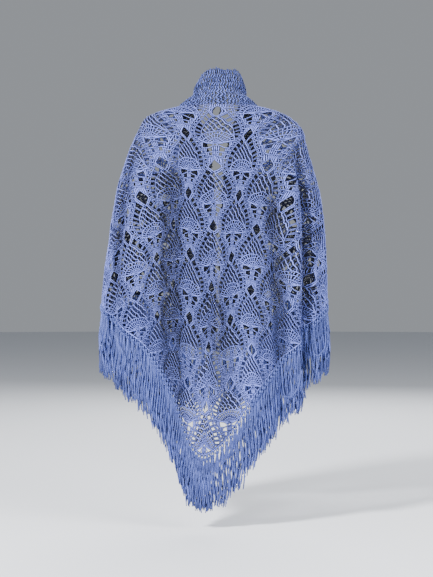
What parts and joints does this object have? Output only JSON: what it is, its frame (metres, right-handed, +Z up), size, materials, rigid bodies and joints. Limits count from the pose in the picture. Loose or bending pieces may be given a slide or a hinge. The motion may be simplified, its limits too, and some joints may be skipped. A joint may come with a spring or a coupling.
{
  "type": "crocheted triangular lace shawl",
  "caption": "Triangular crochet shawl in pineapple lace, worn round the shoulders with its point down the back, with a dense band as collar and front edges and a long knotted yarn fringe.",
  "frame": {"origin": "middle of the neck at its base, between the shoulders that carry the shawl", "axes": "+Z up; the wearer faces -Y, so the back with its point faces +Y; +X is the wearer's left"},
  "size_m": [0.5693, 0.3056, 1.0645],
  "materials": {
    "lace": "soft plied yarn in periwinkle blue",
    "band": "dense crochet in the same yarn",
    "fringe": "loose plied yarn strands"
  },
  "bodies": {
    "root": {"lace_back": "lace", "lace_front_left": "lace", "lace_front_right": "lace", "collar": "band", "band_left": "band", "band_right": "band", "fringe_back_left": "fringe", "fringe_back_right": "fringe", "fringe_front_left": "fringe", "fringe_front_right": "fringe"}
  },
  "joints": []
}
